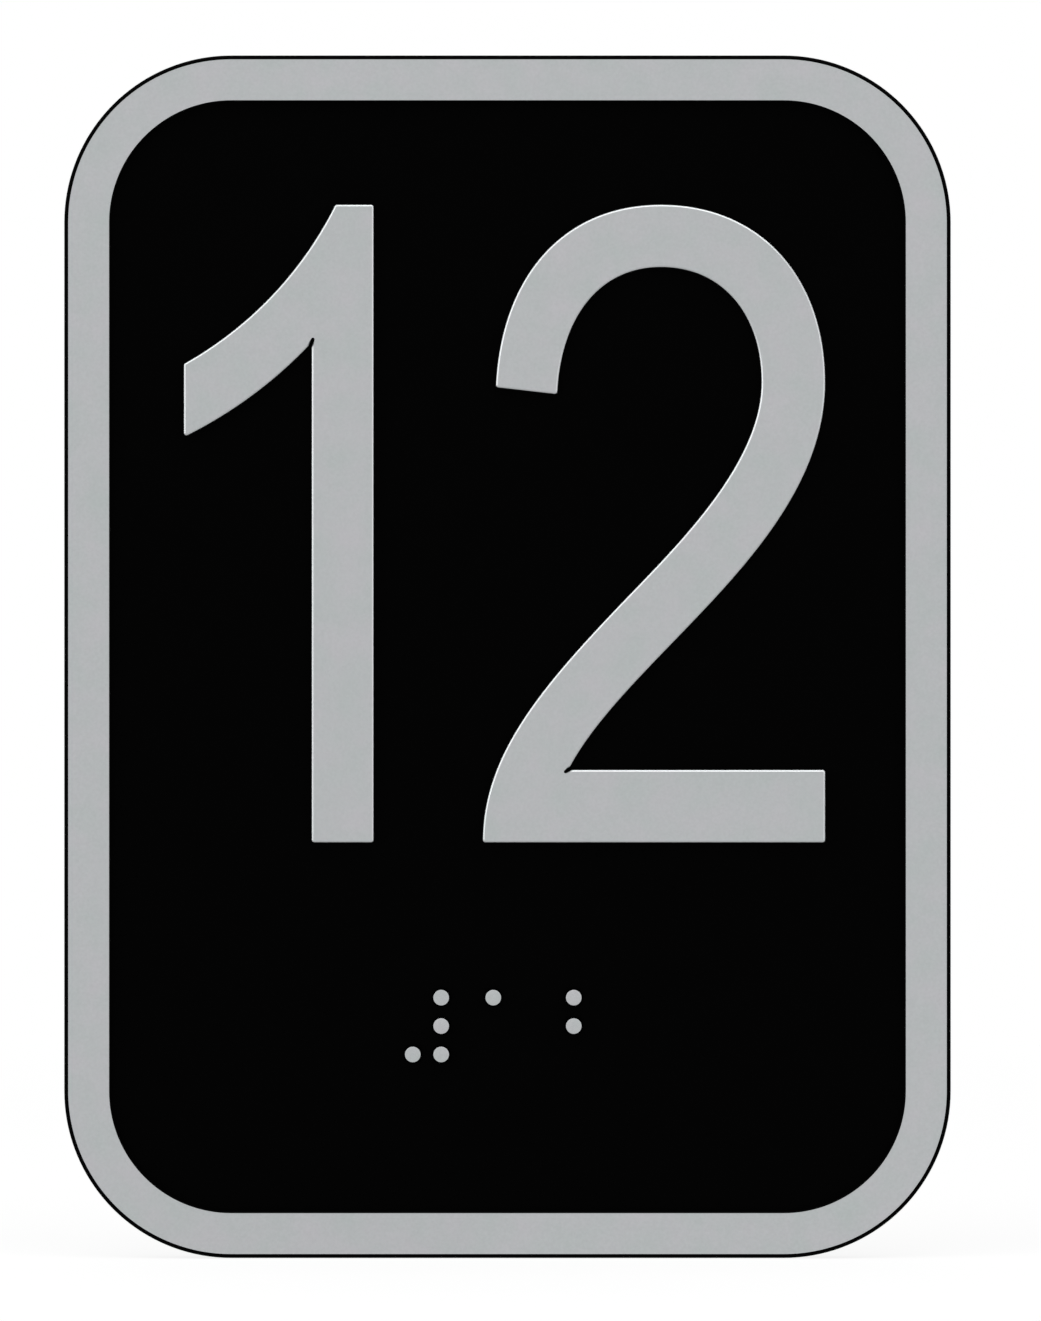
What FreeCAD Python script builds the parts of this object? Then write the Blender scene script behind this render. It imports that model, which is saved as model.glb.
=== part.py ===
import FreeCAD, Part
import math
import os

import Sketcher

# Floor number plate for an elevator jamb: one upright metal plate, bonded flat to the jamb by its back.
# A raised rim, two raised numerals and seven braille dots stand on its front, in one piece with it.
# The frame has its origin at the centre of the back face, +X to the reader's right and +Z up.
# The front faces -Y. Lengths are millimetres and angles are degrees.
# Numeral sizes are measured from the numeral's own lower left corner, on the baseline.
SIZES = {
    "plate_width": (74.9, "overall width"),
    "plate_height": (101.6, "overall height"),
    "corner_radius": (14.1, "outer corner radius"),
    "base_thickness": (2.4, "plate behind the sunk field"),
    "relief_height": (0.8, "rim and numerals above the field"),
    "rim_width": (3.8, "raised rim"),
    "front_edge_round": (0.25, "round on the outer front edge"),
    "back_edge_break": (0.3, "chamfer on the outer back edge"),
    "numeral_height": (53.85, "numerals, baseline to top"),
    "numeral_rise": (11.25, "mid-height of the numerals above the plate's centre"),
    "numeral_gap": (9.25, "clear space between the numerals"),
    "numeral_shift": (0.25, "pair of numerals left of the centre line"),
    "numeral_corner_round": (0.2, "outward corners of the numerals"),
    "numeral_edge_break": (0.12, "chamfer on the numerals' front edges"),
    "one_width": (16.0, "numeral one, flag to stem"),
    "one_stem": (5.2, "stem of the one"),
    "one_top_width": (3.2, "flat top of the stem"),
    "one_flag_drop": (13.45, "upper corner of the flag's blunt end, below the top"),
    "one_flag_end": (6.15, "height of the flag's blunt end"),
    "one_flag_root": (11.6, "where the flag's underside meets the stem, below the top"),
    "one_flag_upper_radius": (31.4, "upper edge of the flag"),
    "one_flag_lower_radius": (37.3, "underside of the flag"),
    "two_width": (28.9, "numeral two, heel to bowl"),
    "two_foot": (6.1, "height of the foot"),
    "two_crook": (7.2, "where the foot's top meets the spine, from the left"),
    "two_crook_angle": (63.0, "slope of the spine where it meets the foot"),
    "two_end_left": (1.1, "outer corner of the stroke's end, from the left"),
    "two_end_drop": (15.4, "outer corner of the stroke's end, below the top"),
    "two_end_width": (5.2, "stroke's end"),
    "two_end_slant": (6.5, "fall of the stroke's end"),
    "two_end_lean": (87.5, "slope of the stroke at its end"),
    "two_crown": (15.05, "top of the bowl, from the left"),
    "two_bowl_drop": (15.0, "widest part of the bowl, below the top"),
    "two_bowl_fullness": (0.6, "squareness of the bowl's quarters"),
    "two_top_stroke": (5.25, "stroke at the top of the bowl"),
    "two_side_stroke": (5.35, "stroke at the side of the bowl"),
    "two_spine_left": (14.85, "middle of the spine, from the left"),
    "two_spine_height": (19.55, "middle of the spine, above the baseline"),
    "two_spine_angle": (46.0, "slope of the spine at its middle"),
    "two_spine_stroke": (5.4, "stroke at the middle of the spine"),
    "two_spine_fullness": (0.395, "bend of the spine's right edge above its middle"),
    "two_spine_hollow": (0.365, "bend of the spine's left edge above its middle"),
    "two_heel_reach": (0.52, "straightness of the spine below its middle"),
    "two_heel_fullness": (0.355, "bend of the spine into the heel"),
    "slot_width": (0.26, "cutter slot in each inward corner"),
    "slot_reach": (0.25, "cutter slot past the corner"),
    "slot_run": (0.6, "cutter slot before the corner"),
    "one_slot_angle": (68.5, "direction of the slot in the one"),
    "two_slot_angle": (211.5, "direction of the slot in the two"),
    "dot_diameter": (1.6, "braille dot at its foot"),
    "dot_height": (0.8, "braille dot above the field"),
    "dot_dome_round": (0.65, "dome of a braille dot"),
    "dot_least_foot": (0.1, "least straight foot and flat crown that the dome leaves"),
    "dot_spacing": (2.4, "dots within a braille cell"),
    "cell_pitch": (6.8, "one braille cell to the next"),
    "braille_drop": (28.8, "top row of dots below the plate's centre"),
}

# Each braille dot by its cell, its column and its row counted down: the number sign, then one and two
BRAILLE_DOTS = [
    (0, 0, 2),
    (0, 1, 0),
    (0, 1, 1),
    (0, 1, 2),
    (1, 0, 0),
    (2, 0, 0),
    (2, 0, 1),
]
LAST_CELL = 2

# Levels and numeral corners, as expressions on the sheet
FIELD = "Sizes.base_thickness"
FRONT = "Sizes.base_thickness + Sizes.relief_height"
RELIEF = "Sizes.relief_height"
BASELINE = "Sizes.numeral_rise - Sizes.numeral_height / 2"
ONE_LEFT = "-(Sizes.one_width + Sizes.numeral_gap + Sizes.two_width) / 2 - Sizes.numeral_shift"
TWO_LEFT = f"{ONE_LEFT} + Sizes.one_width + Sizes.numeral_gap"
ONE_INWARD_CORNER = ("Sizes.one_width - Sizes.one_stem", "Sizes.numeral_height - Sizes.one_flag_root")
TWO_INWARD_CORNER = ("Sizes.two_crook", "Sizes.two_foot")
DOME = (
    "min(Sizes.dot_dome_round; Sizes.dot_height - Sizes.dot_least_foot; "
    "Sizes.dot_diameter / 2 - Sizes.dot_least_foot)"
)

# Directions in a sketch
RIGHTWARD = "0"
UPWARD = "90"
LEFTWARD = "180"
DOWNWARD = "270"

# Point roles of a sketch element, and the sketch's own origin
START = 1
END = 2
CENTRE = 3
ORIGIN = (-1, 1)

# Degree of the numerals' curves
CUBIC = 3

# Edges are matched to their places within this distance
CLOSE = 1e-4


def make_sheet(doc):
    """Write every size to the sheet, one row each: its meaning, then its value under its own name."""
    sheet = doc.addObject("Spreadsheet::Sheet", "Sizes")
    for row, (name, (size, meaning)) in enumerate(SIZES.items(), start=1):
        sheet.set(f"A{row}", meaning)
        sheet.set(f"B{row}", str(size))
        sheet.setAlias(f"B{row}", name)
    doc.recompute()
    return sheet


def along(point, angle, distance):
    """Point that lies a distance from another in a direction, all as expressions."""
    across, up = point
    return (f"{across} + ({distance}) * cos({angle})", f"{up} + ({distance}) * sin({angle})")


class Outline:
    """Sketch on a plane parallel to the plate's back, with every point held by expressions on the sheet."""

    def __init__(self, body, sheet, name, across="0", up="0", forward="0"):
        self.sheet = sheet
        self.across = across
        self.up = up
        self.sketch = body.newObject("Sketcher::SketchObject", name)
        back = next(plane for plane in body.Origin.OriginFeatures if plane.Role == "XZ_Plane")
        self.sketch.AttachmentSupport = (back, [""])
        self.sketch.MapMode = "FlatFace"
        self.sketch.setExpression("AttachmentOffset.Base.x", across)
        self.sketch.setExpression("AttachmentOffset.Base.y", up)
        self.sketch.setExpression("AttachmentOffset.Base.z", forward)

    def value(self, expression):
        """Number that an expression gives now."""
        return float(self.sheet.evalExpression(expression))

    def vector(self, point):
        """Sketch vector of a point given as two expressions."""
        return FreeCAD.Vector(self.value(point[0]), self.value(point[1]), 0)

    def place(self, point):
        """Distance across and height of a sketch point in the plate's frame."""
        spot = self.vector(point)
        return (spot.x + self.value(self.across), spot.y + self.value(self.up))

    def bind(self, kind, elements, expression):
        """Add a dimension between elements and drive it by an expression."""
        index = self.sketch.addConstraint(Sketcher.Constraint(kind, *elements, self.value(expression)))
        self.sketch.setExpression(f"Constraints[{index}]", expression)

    def pin(self, element, role, point):
        """Hold one point of an element at two expressions."""
        self.bind("DistanceX", (*ORIGIN, element, role), point[0])
        self.bind("DistanceY", (*ORIGIN, element, role), point[1])

    def add_line(self, start, end):
        """Straight edge between two points."""
        element = self.sketch.addGeometry(Part.LineSegment(self.vector(start), self.vector(end)))
        return (element, START, END)

    def add_curve(self, start, end, leave, joints, arrive):
        """Smooth cubic edge. Each end has one handle and each joint two, as direction and length."""
        handles = [along(start, *leave)]
        knots = [0.0, 1.0]
        for spot, back, onward in joints:
            handles += [along(spot, *back), along(spot, *onward)]
            # The spans beside a joint go with its handles, so that the curve runs through it smoothly
            stretch = self.value(onward[1]) / self.value(back[1])
            knots.append(knots[-1] + (knots[-1] - knots[-2]) * stretch)
        handles.append(along(end, *arrive))
        poles = [self.vector(point) for point in (start, *handles, end)]
        curve = Part.BSplineCurve()
        counts = [CUBIC + 1] + [CUBIC - 1] * len(joints) + [CUBIC + 1]
        curve.buildFromPolesMultsKnots(poles, counts, knots, False, CUBIC)
        element = self.sketch.addGeometry(curve)
        self.sketch.exposeInternalGeometry(element)
        for handle, point in enumerate(handles, start=element + 2):
            self.pin(handle, CENTRE, point)
        return (element, START, END)

    def add_arc(self, start, end, radius):
        """Arc under half a turn that bulges out of an outline drawn anticlockwise."""
        first = self.vector(start)
        last = self.vector(end)
        size = self.value(radius)
        chord = last - first
        inward = FreeCAD.Vector(-chord.y, chord.x, 0).normalize()
        centre = (first + last) / 2 + inward * math.sqrt(size**2 - (chord.Length / 2) ** 2)
        circle = Part.Circle(centre, FreeCAD.Vector(0, 0, 1), size)
        arc = Part.ArcOfCircle(circle, circle.parameter(first), circle.parameter(last))
        element = self.sketch.addGeometry(arc)
        self.bind("Radius", (element,), radius)
        return (element, START, END)

    def add_hollow_arc(self, start, end, radius):
        """Arc under half a turn that curves into an outline drawn anticlockwise."""
        element, _, _ = self.add_arc(end, start, radius)
        return (element, END, START)

    def add_circle(self, centre, diameter):
        """Circle round a point."""
        circle = Part.Circle(self.vector(centre), FreeCAD.Vector(0, 0, 1), self.value(diameter) / 2)
        element = self.sketch.addGeometry(circle)
        self.pin(element, CENTRE, centre)
        self.bind("Diameter", (element,), diameter)

    def add_loop(self, edges):
        """Closed outline, anticlockwise: each edge is its start point, its way of drawing and its sizes."""
        drawn = []
        for (start, draw, *sizes), (end, *_) in zip(edges, edges[1:] + edges[:1]):
            drawn.append(draw(start, end, *sizes))
        for (element, first, _), (before, _, last), (start, *_) in zip(drawn, drawn[-1:] + drawn[:-1], edges):
            self.sketch.addConstraint(Sketcher.Constraint("Coincident", before, last, element, first))
            self.pin(element, first, start)

    def add_rounded_rectangle(self, width, height, radius):
        """Upright rectangle round the sketch's origin, with four equal round corners."""
        right, left = f"({width}) / 2", f"-({width}) / 2"
        top, foot = f"({height}) / 2", f"-({height}) / 2"
        self.add_loop([
            ((right, f"{foot} + {radius}"), self.add_line),
            ((right, f"{top} - ({radius})"), self.add_arc, radius),
            ((f"{right} - ({radius})", top), self.add_line),
            ((f"{left} + {radius}", top), self.add_arc, radius),
            ((left, f"{top} - ({radius})"), self.add_line),
            ((left, f"{foot} + {radius}"), self.add_arc, radius),
            ((f"{left} + {radius}", foot), self.add_line),
            ((f"{right} - ({radius})", foot), self.add_arc, radius),
        ])

    def add_cutter_slot(self, corner, angle):
        """Slot with a round end, which runs in along a direction and stops just past a corner."""
        half = "Sizes.slot_width / 2"
        tip = along(corner, angle, "Sizes.slot_reach")
        mouth = along(corner, f"{angle} + 180", "Sizes.slot_run")
        self.add_loop([
            (along(mouth, f"{angle} - 90", half), self.add_line),
            (along(tip, f"{angle} - 90", half), self.add_arc, half),
            (along(tip, angle, half), self.add_arc, half),
            (along(tip, f"{angle} + 90", half), self.add_line),
            (along(mouth, f"{angle} + 90", half), self.add_line),
        ])


def add_pad(body, name, outline, length):
    """Raise an outline towards the front."""
    pad = body.newObject("PartDesign::Pad", name)
    pad.Profile = outline.sketch
    pad.setExpression("Length", length)
    body.Document.recompute()


def cut_pocket(body, name, outline, depth):
    """Cut an outline back from the front."""
    before = body.Shape.Volume
    pocket = body.newObject("PartDesign::Pocket", name)
    pocket.Profile = outline.sketch
    pocket.setExpression("Length", depth)
    body.Document.recompute()
    if pocket.Shape.Volume >= before:
        raise RuntimeError(f"{name} removed nothing")


def dress_edges(body, kind, name, wanted, size_property, size):
    """Round or chamfer the edges of the body that pass a test."""
    edges = [f"Edge{number}" for number, edge in enumerate(body.Shape.Edges, start=1) if wanted(edge)]
    if not edges:
        raise RuntimeError(f"{name} found no edge")
    base = body.Tip
    dress = body.newObject(f"PartDesign::{kind}", name)
    dress.Base = (base, edges)
    dress.setExpression(size_property, size)
    body.Document.recompute()


def lies_at(edge, depth):
    """Whether an edge lies in the plane at a depth along Y."""
    return abs(edge.BoundBox.YMin - depth) < CLOSE and abs(edge.BoundBox.YMax - depth) < CLOSE


def stands_at(edge, spots):
    """Whether an edge runs straight from front to back at one of several spots."""
    box = edge.BoundBox
    if box.XLength > CLOSE or box.ZLength > CLOSE:
        return False
    return any(abs(box.XMin - across) < CLOSE and abs(box.ZMin - up) < CLOSE for across, up in spots)


def build_plate(body, sheet):
    """Plain plate up to the field, and the raised rim round it."""
    width, height, radius = "Sizes.plate_width", "Sizes.plate_height", "Sizes.corner_radius"
    blank = Outline(body, sheet, "plate_outline")
    blank.add_rounded_rectangle(width, height, radius)
    add_pad(body, "plate", blank, FIELD)
    rim = Outline(body, sheet, "rim_outline", forward=FIELD)
    rim.add_rounded_rectangle(width, height, radius)
    rim.add_rounded_rectangle(
        f"{width} - 2 * Sizes.rim_width", f"{height} - 2 * Sizes.rim_width", f"{radius} - Sizes.rim_width"
    )
    add_pad(body, "rim", rim, RELIEF)


def build_one(body, sheet):
    """Numeral one: a stem with a curved flag. Returns its outward corners and its inward one."""
    one = Outline(body, sheet, "one_outline", ONE_LEFT, BASELINE, FIELD)
    stem_left, right, top = "Sizes.one_width - Sizes.one_stem", "Sizes.one_width", "Sizes.numeral_height"
    foot_left = (stem_left, "0")
    foot_right = (right, "0")
    top_right = (right, top)
    top_left = (f"{right} - Sizes.one_top_width", top)
    flag_upper = ("0", f"{top} - Sizes.one_flag_drop")
    flag_lower = ("0", f"{top} - Sizes.one_flag_drop - Sizes.one_flag_end")
    flag_root = ONE_INWARD_CORNER
    one.add_loop([
        (foot_left, one.add_line),
        (foot_right, one.add_line),
        (top_right, one.add_line),
        (top_left, one.add_hollow_arc, "Sizes.one_flag_upper_radius"),
        (flag_upper, one.add_line),
        (flag_lower, one.add_arc, "Sizes.one_flag_lower_radius"),
        (flag_root, one.add_line),
    ])
    add_pad(body, "numeral_one", one, RELIEF)
    outward = (foot_left, foot_right, top_right, top_left, flag_upper, flag_lower)
    return [one.place(spot) for spot in outward], one.place(flag_root)


def build_two(body, sheet):
    """Numeral two: a bowl, a slanting spine and a foot. Returns its outward corners and its inward one."""
    two = Outline(body, sheet, "two_outline", TWO_LEFT, BASELINE, FIELD)
    right, top, crown = "Sizes.two_width", "Sizes.numeral_height", "Sizes.two_crown"
    widest, angle, lean = f"{top} - Sizes.two_bowl_drop", "Sizes.two_spine_angle", "Sizes.two_end_lean"
    bowl, heel_bend = "Sizes.two_bowl_fullness", "Sizes.two_heel_fullness"
    spine, hollow = "Sizes.two_spine_fullness", "Sizes.two_spine_hollow"
    inner_top = f"{top} - Sizes.two_top_stroke"
    inner_right = f"{right} - Sizes.two_side_stroke"
    middle = ("Sizes.two_spine_left", "Sizes.two_spine_height")
    heel = ("0", "0")
    foot_low = (right, "0")
    foot_high = (right, "Sizes.two_foot")
    crook = TWO_INWARD_CORNER
    spine_right = along(middle, f"{angle} - 90", "Sizes.two_spine_stroke / 2")
    spine_left = along(middle, f"{angle} + 90", "Sizes.two_spine_stroke / 2")
    end_outer = ("Sizes.two_end_left", f"{top} - Sizes.two_end_drop")
    end_inner = along(end_outer, "-Sizes.two_end_slant", "Sizes.two_end_width")

    def share(fullness, low, high):
        """Handle length: a curve's fullness times the distance that the curve covers."""
        return f"{fullness} * ({high} - ({low}))"

    def lower_spine(spot, base):
        """Handle at the middle of the spine, downwards."""
        return (f"{angle} + 180", share("Sizes.two_heel_reach", base, spot[1]))

    def upper_spine(spot, bend):
        """Handle at the middle of the spine, upwards."""
        return (angle, share(bend, spot[1], widest))

    outer_joints = [
        (spine_right, lower_spine(spine_right, "Sizes.two_foot"), upper_spine(spine_right, spine)),
        ((right, widest), (DOWNWARD, share(spine, spine_right[1], widest)),
         (UPWARD, share(bowl, widest, top))),
        ((crown, top), (RIGHTWARD, share(bowl, crown, right)),
         (LEFTWARD, share(bowl, end_outer[0], crown))),
    ]
    inner_joints = [
        ((crown, inner_top), (LEFTWARD, share(bowl, end_inner[0], crown)),
         (RIGHTWARD, share(bowl, crown, inner_right))),
        ((inner_right, widest), (UPWARD, share(bowl, widest, inner_top)),
         (DOWNWARD, share(hollow, spine_left[1], widest))),
        (spine_left, upper_spine(spine_left, hollow), lower_spine(spine_left, "0")),
    ]
    two.add_loop([
        (heel, two.add_line),
        (foot_low, two.add_line),
        (foot_high, two.add_line),
        (crook, two.add_curve, ("Sizes.two_crook_angle", share(heel_bend, "Sizes.two_foot", spine_right[1])),
         outer_joints, (lean, share(bowl, end_outer[1], top))),
        (end_outer, two.add_line),
        (end_inner, two.add_curve, (lean, share(bowl, end_inner[1], inner_top)),
         inner_joints, (UPWARD, share(heel_bend, "0", spine_left[1]))),
    ])
    add_pad(body, "numeral_two", two, RELIEF)
    outward = (heel, foot_low, foot_high, end_outer, end_inner)
    return [two.place(spot) for spot in outward], two.place(crook)


def round_numerals(body, sheet, outward, inward):
    """Round the numerals' corners, break their front edges, then sink the cutter slots."""
    dress_edges(
        body, "Fillet", "numeral_corners", lambda edge: stands_at(edge, outward),
        "Radius", "Sizes.numeral_corner_round",
    )
    dress_edges(
        body, "Fillet", "numeral_crooks", lambda edge: stands_at(edge, inward),
        "Radius", "Sizes.slot_width / 2",
    )
    front = -float(sheet.evalExpression(FRONT))
    reach_across = float(sheet.evalExpression("Sizes.plate_width / 2 - Sizes.rim_width")) - CLOSE
    reach_up = float(sheet.evalExpression("Sizes.plate_height / 2 - Sizes.rim_width")) - CLOSE

    def is_numeral_edge(edge):
        """Whether an edge lies on the front, clear of the rim."""
        box = edge.BoundBox
        across = max(abs(box.XMin), abs(box.XMax))
        up = max(abs(box.ZMin), abs(box.ZMax))
        return lies_at(edge, front) and across < reach_across and up < reach_up

    dress_edges(body, "Chamfer", "numeral_edges", is_numeral_edge, "Size", "Sizes.numeral_edge_break")
    one = Outline(body, sheet, "one_slot_outline", ONE_LEFT, BASELINE, FRONT)
    one.add_cutter_slot(ONE_INWARD_CORNER, "Sizes.one_slot_angle")
    cut_pocket(body, "one_slot", one, RELIEF)
    two = Outline(body, sheet, "two_slot_outline", TWO_LEFT, BASELINE, FRONT)
    two.add_cutter_slot(TWO_INWARD_CORNER, "Sizes.two_slot_angle")
    cut_pocket(body, "two_slot", two, RELIEF)


def build_braille(body, sheet):
    """Domed braille dots, with their cells centred across the plate."""
    cells_left = f"-({LAST_CELL} * Sizes.cell_pitch + Sizes.dot_spacing) / 2"
    top_row = "-Sizes.braille_drop"
    dots = Outline(body, sheet, "braille_outline", cells_left, top_row, FIELD)
    for cell, column, row in BRAILLE_DOTS:
        across = f"{cell} * Sizes.cell_pitch + {column} * Sizes.dot_spacing"
        dots.add_circle((across, f"-{row} * Sizes.dot_spacing"), "Sizes.dot_diameter")
    add_pad(body, "braille_dots", dots, "Sizes.dot_height")
    crown = -float(sheet.evalExpression("Sizes.base_thickness + Sizes.dot_height"))
    radius = float(sheet.evalExpression("Sizes.dot_diameter / 2"))

    def is_dot_edge(edge):
        """Whether an edge is the front edge of a dot."""
        return lies_at(edge, crown) and edge.Curve.TypeId == "Part::GeomCircle" and (
            abs(edge.Curve.Radius - radius) < CLOSE
        )

    dress_edges(body, "Fillet", "braille_domes", is_dot_edge, "Radius", DOME)


def finish_outer_edges(body, sheet):
    """Round the plate's outer front edge and break its back edge."""
    front = -float(sheet.evalExpression(FRONT))
    half_width = float(sheet.evalExpression("Sizes.plate_width / 2"))
    half_height = float(sheet.evalExpression("Sizes.plate_height / 2"))

    def is_outer_front(edge):
        """Whether an edge lies on the front and reaches the plate's outline."""
        box = edge.BoundBox
        across = max(abs(box.XMin), abs(box.XMax))
        up = max(abs(box.ZMin), abs(box.ZMax))
        return lies_at(edge, front) and (across > half_width - CLOSE or up > half_height - CLOSE)

    dress_edges(body, "Fillet", "front_edge", is_outer_front, "Radius", "Sizes.front_edge_round")
    dress_edges(body, "Chamfer", "back_edge", lambda edge: lies_at(edge, 0), "Size", "Sizes.back_edge_break")


def check_build(doc, body):
    """Stop if any object failed or the plate isn't one sound solid."""
    for item in doc.Objects:
        if "Invalid" in item.State or "Error" in item.State:
            raise RuntimeError(f"{item.Label} failed")
    shape = body.Shape
    if shape.isNull() or not shape.isValid() or len(shape.Solids) != 1:
        raise RuntimeError(f"{body.Label} is not one sound solid")


def build_floor_number_plate():
    """Build the plate and write its solid."""
    doc = FreeCAD.newDocument("floor_number_sign")
    sheet = make_sheet(doc)
    body = doc.addObject("PartDesign::Body", "floor_number_plate")
    body.Label = "floor_number_plate"
    build_plate(body, sheet)
    one_outward, one_inward = build_one(body, sheet)
    two_outward, two_inward = build_two(body, sheet)
    round_numerals(body, sheet, one_outward + two_outward, [one_inward, two_inward])
    build_braille(body, sheet)
    finish_outer_edges(body, sheet)
    doc.recompute()
    check_build(doc, body)
    os.makedirs("parts", exist_ok=True)
    body.Shape.exportStep(f"parts/{body.Label}.step")


build_floor_number_plate()
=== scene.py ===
"""Dressed model of an elevator floor number sign.

The sign is one upright metal plate. A raised rim, two raised numerals and seven braille dots stand in
bare satin metal on a sunk black field. The plate's skin is built here as one fine closed mesh, which
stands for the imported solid, and gets its finishes, a plain studio and a camera.

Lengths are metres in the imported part's frame: the origin is the centre of the back face, +X is the
reader's right, +Z is up and the front faces -Y. Outlines lie in the plane of the plate, as points across
and up, and a depth is counted forward from the back face.
"""

import logging
import math
from collections.abc import Sequence
from dataclasses import dataclass, field
from enum import Enum

import bmesh
import bpy
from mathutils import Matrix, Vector
from mathutils.geometry import interpolate_bezier


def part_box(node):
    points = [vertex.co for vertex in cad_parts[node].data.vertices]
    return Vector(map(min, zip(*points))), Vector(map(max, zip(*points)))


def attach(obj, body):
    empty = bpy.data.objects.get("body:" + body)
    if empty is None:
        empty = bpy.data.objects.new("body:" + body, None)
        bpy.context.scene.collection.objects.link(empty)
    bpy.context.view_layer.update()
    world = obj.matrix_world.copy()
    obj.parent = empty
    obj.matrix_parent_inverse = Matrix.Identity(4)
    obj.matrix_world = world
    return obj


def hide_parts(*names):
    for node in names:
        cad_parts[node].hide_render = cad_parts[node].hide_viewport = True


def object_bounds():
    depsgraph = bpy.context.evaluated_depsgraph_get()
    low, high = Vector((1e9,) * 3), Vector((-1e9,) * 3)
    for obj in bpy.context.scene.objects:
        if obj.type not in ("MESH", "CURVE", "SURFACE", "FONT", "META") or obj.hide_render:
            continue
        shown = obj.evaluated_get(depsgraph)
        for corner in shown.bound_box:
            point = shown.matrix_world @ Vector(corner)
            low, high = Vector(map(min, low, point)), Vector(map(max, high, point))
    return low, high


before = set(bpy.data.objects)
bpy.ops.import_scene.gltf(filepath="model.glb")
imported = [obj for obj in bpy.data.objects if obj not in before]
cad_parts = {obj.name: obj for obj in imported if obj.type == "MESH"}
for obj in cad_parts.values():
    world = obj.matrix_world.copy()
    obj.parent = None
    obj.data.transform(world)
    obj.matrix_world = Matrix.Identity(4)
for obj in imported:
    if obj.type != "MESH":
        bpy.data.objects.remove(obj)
CAD_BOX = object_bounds()

MM = 0.001
QUARTER_TURN = 90.0
FULL_TURN = 360.0
PLATE_NODE = "floor_number_plate"

log = logging.getLogger("floor_number_sign")

Colour = tuple[float, float, float, float]
Ring = list[bmesh.types.BMVert]


class Corner(Enum):
    """How one edge of a numeral's outline meets the next."""

    SMOOTH = "runs on"
    ROUNDED = "outward corner, rounded"
    SLOTTED = "inward corner, cleared by a cutter slot"


class Bow(Enum):
    """Which way an arc of an outline bends, as the side of the line that its centre lies on."""

    OUTWARD = 1
    INWARD = -1


class Facing(Enum):
    """Way that a flat face looks, as its direction along Y."""

    BACK = 1
    FRONT = -1


class Zone(Enum):
    """Finish of a part of the plate's skin, as its place in the list of materials."""

    BARE = 0
    COATED = 1
    EDGE = 2
    BACK = 3


def heading(angle: float) -> Vector:
    """Direction of unit length in the plane of the plate.

    Args:
        angle: Degrees from the reader's right, turning towards up.

    Returns:
        Unit vector across and up.
    """
    return Vector((math.cos(math.radians(angle)), math.sin(math.radians(angle))))


def leftward(direction: Vector) -> Vector:
    """Direction a quarter turn anticlockwise of another.

    Args:
        direction: Direction to turn.

    Returns:
        The turned direction, of the same length.
    """
    return Vector((-direction.y, direction.x))


def fan(
    centre: Vector, radius: float, middle: Vector, side: Vector, half_turn: float, steps: int
) -> list[Vector]:
    """Points of an arc, given by its middle and the side that it starts from.

    Args:
        centre: Centre of the arc.
        radius: Radius of the arc.
        middle: Unit direction from the centre to the arc's middle.
        side: Unit direction across the middle, towards the arc's first point.
        half_turn: Half of the arc's turn, in radians.
        steps: Number of straight pieces.

    Returns:
        The arc's points, first to last.
    """
    points = []
    for step in range(steps + 1):
        turn = half_turn * (1 - 2 * step / steps)
        points.append(centre + (middle * math.cos(turn) + side * math.sin(turn)) * radius)
    return points


def shortened(points: Sequence[Vector], length: float) -> list[Vector]:
    """Take a length off the end of an open line.

    Args:
        points: Points of the line.
        length: Length to take off.

    Returns:
        Points of the line that is left.
    """
    kept = list(points)
    while len(kept) > 2 and (kept[-1] - kept[-2]).length <= length:
        length -= (kept[-1] - kept[-2]).length
        kept.pop()
    kept[-1] = kept[-1] + (kept[-2] - kept[-1]).normalized() * length
    return kept


@dataclass(frozen=True)
class Outline:
    """Closed line in the plane of the plate, drawn anticlockwise as the reader sees it.

    Points that are named as sharp, by their place in the line, keep a sharp edge when the line is inset.
    """

    points: tuple[Vector, ...]
    sharp: frozenset[int] = frozenset()

    @classmethod
    def rounded_rectangle(cls, width: float, height: float, radius: float, steps: int) -> "Outline":
        """Upright rectangle round the plate's centre, with round corners.

        Args:
            width: Distance across.
            height: Distance up.
            radius: Radius of the corners.
            steps: Straight pieces in each corner.

        Returns:
            The outline.
        """
        points = []
        for turn, (across, up) in enumerate(((1, -1), (1, 1), (-1, 1), (-1, -1))):
            centre = Vector((across * (width / 2 - radius), up * (height / 2 - radius)))
            for step in range(steps + 1):
                points.append(centre + heading(QUARTER_TURN * (turn - 1 + step / steps)) * radius)
        return cls(tuple(points))

    @classmethod
    def circle(cls, centre: Vector, radius: float, steps: int) -> "Outline":
        """Circle round a point, in a number of straight pieces."""
        return cls(tuple(centre + heading(FULL_TURN * step / steps) * radius for step in range(steps)))

    def moved(self, offset: Vector) -> "Outline":
        """The same outline at another place."""
        return Outline(tuple(point + offset for point in self.points), self.sharp)

    def inset(self, distance: float) -> "Outline":
        """Outline that lies inside this one by an even distance.

        Args:
            distance: Distance inwards, or outwards where it is negative.

        Returns:
            The new outline, point for point.
        """
        points = []
        count = len(self.points)
        for index, point in enumerate(self.points):
            before = leftward((point - self.points[index - 1]).normalized())
            after = leftward((self.points[(index + 1) % count] - point).normalized())
            reach = min(distance, 0.0) if index in self.sharp else distance
            points.append(point + (before + after) * (reach / (1 + before.dot(after))))
        return Outline(tuple(points), self.sharp)


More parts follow.
